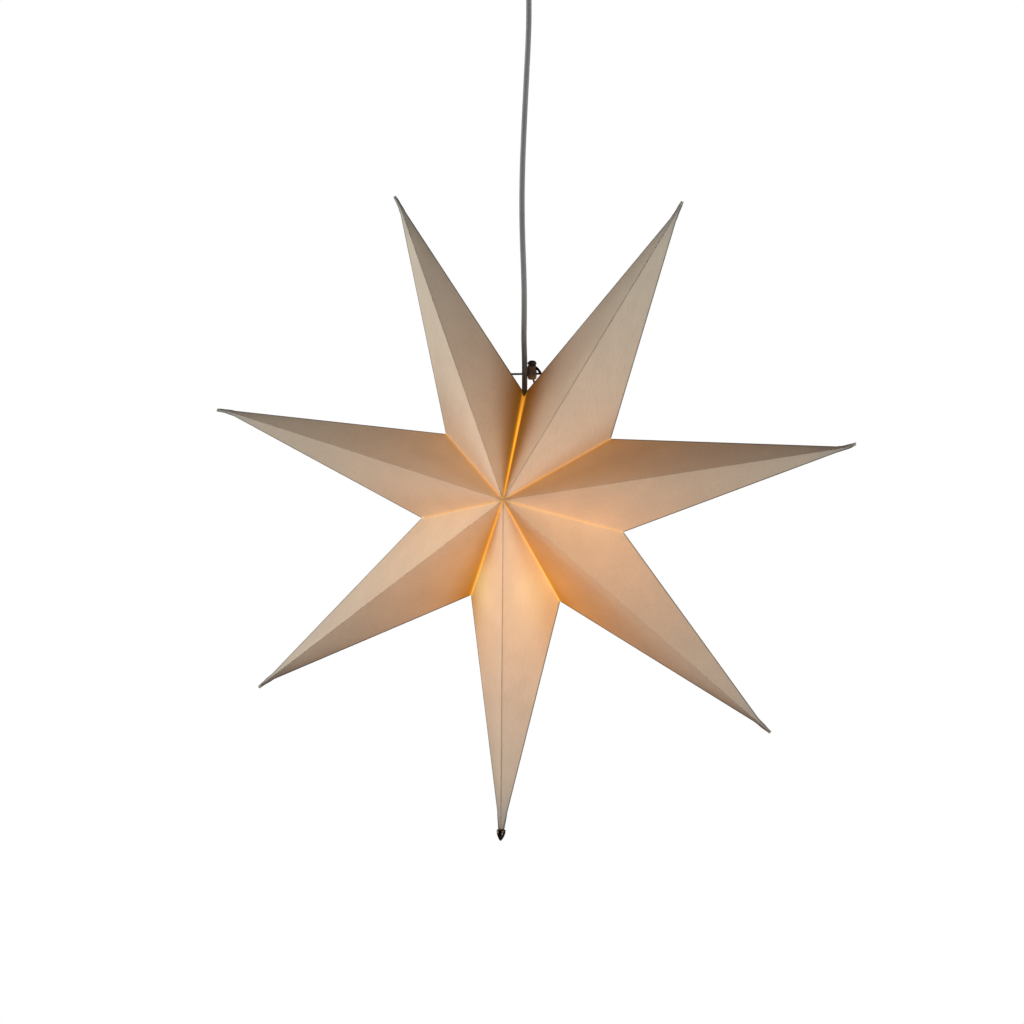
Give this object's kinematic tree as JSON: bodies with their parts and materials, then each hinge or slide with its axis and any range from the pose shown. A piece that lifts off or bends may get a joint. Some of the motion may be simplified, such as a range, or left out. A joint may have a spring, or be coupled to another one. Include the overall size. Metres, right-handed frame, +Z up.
{
  "type": "folded paper star lantern",
  "caption": "Folded paper star lantern that hangs on a lamp cord from a ceiling cup, with a lampholder, bulb and cord-lock tie inside a fan-folding shade.",
  "frame": {"origin": "on the ceiling face, at the middle of the bracket, straight above the cord's upper end", "axes": "+Z up, out of the ceiling face; -Y towards the viewer of the star's front, so Y is the star's depth; X across the star"},
  "size_m": [0.6045, 0.158, 0.8641],
  "materials": {
    "paper": "matt, off-white, warm where the light shines through",
    "cord_pvc": "satin grey PVC",
    "white_plastic": "satin white",
    "white_ceramic": "glazed",
    "zinc_steel": "zinc plated",
    "brass": "bare",
    "nickel_cap": "nickel plated",
    "core_insulation": "brown and blue insulation",
    "dark_plastic": "satin dark brown",
    "brown_plastic": "satin brown",
    "frosted_glass": "frosted",
    "clear_glass": "clear",
    "filament": "glowing warm yellow",
    "bronze": "dark polished bronze",
    "brown_string": "twisted dark brown string"
  },
  "bodies": {
    "lamp_set": {"ceiling_bracket": "zinc_steel", "cord_clamp": "white_plastic", "clamp_screws": "zinc_steel", "terminal_block": "white_plastic", "terminal_screws": "brass", "cord_cores": "core_insulation", "cord": "cord_pvc", "cord_grip": "dark_plastic", "holder_cap": "white_plastic", "holder_body": "white_plastic", "contact_block": "white_ceramic", "thread_sleeve": "brass", "centre_contact": "brass", "side_contact": "brass", "holder_screws": "zinc_steel"},
    "cup": {"ceiling_cup": "white_plastic", "cup_bush": "white_plastic", "grip_screw": "white_plastic"},
    "bulb": {"bulb_cap": "nickel_cap", "bulb_insulator": "dark_plastic", "bulb_contact": "nickel_cap", "bulb_glass": "frosted_glass", "bulb_stem": "clear_glass", "bulb_filament": "filament"},
    "shade_arm_4": {"arm_4": "paper", "tip_cap": "bronze"},
    "shade_arm_3": {"arm_3": "paper"},
    "shade_arm_2": {"arm_2": "paper"},
    "shade_arm_1": {"arm_1": "paper", "tie_string": "brown_string"},
    "shade_arm_5": {"arm_5": "paper"},
    "shade_arm_6": {"arm_6": "paper"},
    "shade_arm_7": {"arm_7": "paper"},
    "toggle": {"toggle_barrel": "brown_plastic", "toggle_spring": "zinc_steel", "string_tail": "brown_string"},
    "plunger": {"toggle_plunger": "dark_plastic"}
  },
  "joints": [
    {"name": "cup_slide", "type": "slide", "parent": "lamp_set", "child": "cup", "axis": [0, 0, -1], "range_m": [0, 0.035]},
    {"name": "bulb_out", "type": "slide", "parent": "lamp_set", "child": "bulb", "axis": [0, 0, -1], "range_m": [0, 0.03]},
    {"name": "shade_turn", "type": "hinge", "parent": "lamp_set", "child": "shade_arm_4", "pos_m": [-0.004, 0, -0.55], "axis": [0, 0, 1], "continuous": true},
    {"name": "fold_3", "type": "hinge", "parent": "shade_arm_4", "child": "shade_arm_3", "pos_m": [-0.006, 0, -0.55], "axis": [0, 1, 0], "range_deg": [0, 49], "deforming": ["arm_3", "arm_4"]},
    {"name": "fold_2", "type": "hinge", "parent": "shade_arm_3", "child": "shade_arm_2", "pos_m": [-0.006, 0, -0.55], "axis": [0, 1, 0], "range_deg": [0, 49], "deforming": ["arm_2"]},
    {"name": "fold_1", "type": "hinge", "parent": "shade_arm_2", "child": "shade_arm_1", "pos_m": [-0.006, 0, -0.55], "axis": [0, 1, 0], "range_deg": [0, 49], "deforming": ["arm_1", "tie_string"]},
    {"name": "fold_5", "type": "hinge", "parent": "shade_arm_4", "child": "shade_arm_5", "pos_m": [-0.006, 0, -0.55], "axis": [0, -1, 0], "range_deg": [0, 49], "deforming": ["arm_5"]},
    {"name": "fold_6", "type": "hinge", "parent": "shade_arm_5", "child": "shade_arm_6", "pos_m": [-0.006, 0, -0.55], "axis": [0, -1, 0], "range_deg": [0, 49], "deforming": ["arm_6"]},
    {"name": "fold_7", "type": "hinge", "parent": "shade_arm_6", "child": "shade_arm_7", "pos_m": [-0.006, 0, -0.55], "axis": [0, -1, 0], "range_deg": [0, 49], "deforming": ["arm_7"]},
    {"name": "toggle_slide", "type": "slide", "parent": "shade_arm_1", "child": "toggle", "axis": [1, 0, 0], "range_m": [0, 0.002]},
    {"name": "toggle_press", "type": "slide", "parent": "toggle", "child": "plunger", "axis": [0, 0, -1], "range_m": [0, 0.0018], "stiffness_N_per_m": 300, "deforming": ["toggle_spring"]}
  ],
  "couplings": [
    {"joint": "fold_2", "follows": "fold_3", "ratio": 1},
    {"joint": "fold_1", "follows": "fold_3", "ratio": 1},
    {"joint": "fold_5", "follows": "fold_3", "ratio": 1},
    {"joint": "fold_6", "follows": "fold_3", "ratio": 1},
    {"joint": "fold_7", "follows": "fold_3", "ratio": 1}
  ]
}
